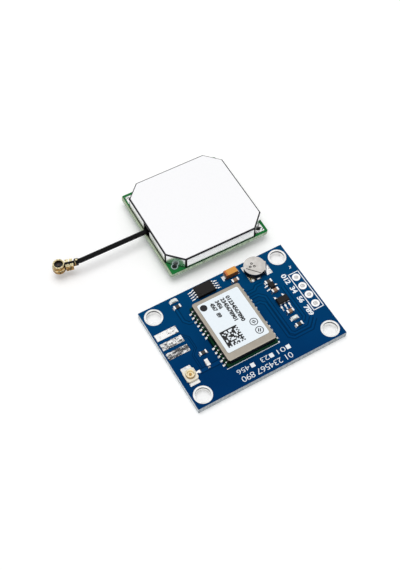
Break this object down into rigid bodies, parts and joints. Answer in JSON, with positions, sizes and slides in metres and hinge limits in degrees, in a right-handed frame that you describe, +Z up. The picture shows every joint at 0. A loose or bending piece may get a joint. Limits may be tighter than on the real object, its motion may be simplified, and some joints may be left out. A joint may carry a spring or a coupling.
{
  "type": "satellite receiver board with antenna",
  "caption": "Flat blue receiver board with a shielded radio module, small parts and corner holes, beside a square antenna in a bevelled metal can with a short coaxial lead and plug.",
  "frame": {"origin": "centre of the blue board's underside, on the surface it lies on", "axes": "+Z up out of the board's populated face, +X along its long side towards the header holes, +Y towards the antenna"},
  "size_m": [0.0471, 0.0546, 0.006],
  "materials": {
    "blue_board": "satin solder mask over glass epoxy",
    "green_board": "satin solder mask over glass epoxy",
    "tin": "bright tin plate",
    "nickel": "satin nickel silver",
    "gold": "gold flash over brass",
    "label": "matt white label",
    "black_mould": "black moulding compound",
    "ceramic_black": "black glazed film on alumina",
    "ceramic_tan": "fired tan ceramic",
    "ceramic_white": "fired white ceramic",
    "patch_ceramic": "fired cream ceramic",
    "orange_mould": "orange moulding compound",
    "clear_lens": "clear epoxy",
    "ivory": "ivory moulded polymer",
    "black_rubber": "black sheath with a slight sheen"
  },
  "bodies": {
    "root": {"amplifier_chip": "black_mould", "amplifier_filter": "nickel", "antenna_board": "green_board", "antenna_land_1": "tin", "antenna_land_2": "tin", "antenna_land_3": "tin", "antenna_land_4": "tin", "antenna_lead": "black_rubber", "antenna_patch": "patch_ceramic", "antenna_shield": "tin", "capacitor_1": "ceramic_tan", "capacitor_2": "ceramic_tan", "capacitor_3": "ceramic_tan", "cell_bottom_tab": "tin", "cell_can": "tin", "cell_cap": "tin", "cell_gasket": "black_rubber", "cell_top_tab": "tin", "circuit_board": "blue_board", "edge_pad_1": "tin", "edge_pad_2": "tin", "edge_pad_3": "tin", "feed_pin": "tin", "header_land_1": "tin", "header_land_2": "tin", "header_land_3": "tin", "header_land_4": "tin", "inductor": "ceramic_white", "led_1_base": "ceramic_white", "led_1_lens": "clear_lens", "led_2_base": "ceramic_white", "led_2_lens": "clear_lens", "memory_chip": "black_mould", "mounting_ring_1": "tin", "mounting_ring_2": "tin", "mounting_ring_3": "tin", "mounting_ring_4": "tin", "patch_electrode": "tin", "plug_contact": "gold", "plug_insulator": "black_mould", "plug_shell": "gold", "receiver_board": "green_board", "receiver_chip": "black_mould", "receiver_crystal": "nickel", "receiver_filter": "ceramic_white", "receiver_label": "label", "receiver_shield": "nickel", "regulator": "black_mould", "resistor_1": "ceramic_black", "resistor_2": "ceramic_black", "resistor_3": "ceramic_black", "resistor_4": "ceramic_black", "socket_base": "ivory", "socket_pin": "gold", "socket_shell": "gold", "tantalum_body": "orange_mould", "tantalum_minus_tab": "tin", "tantalum_plus_tab": "tin", "transistor": "black_mould"}
  },
  "joints": []
}
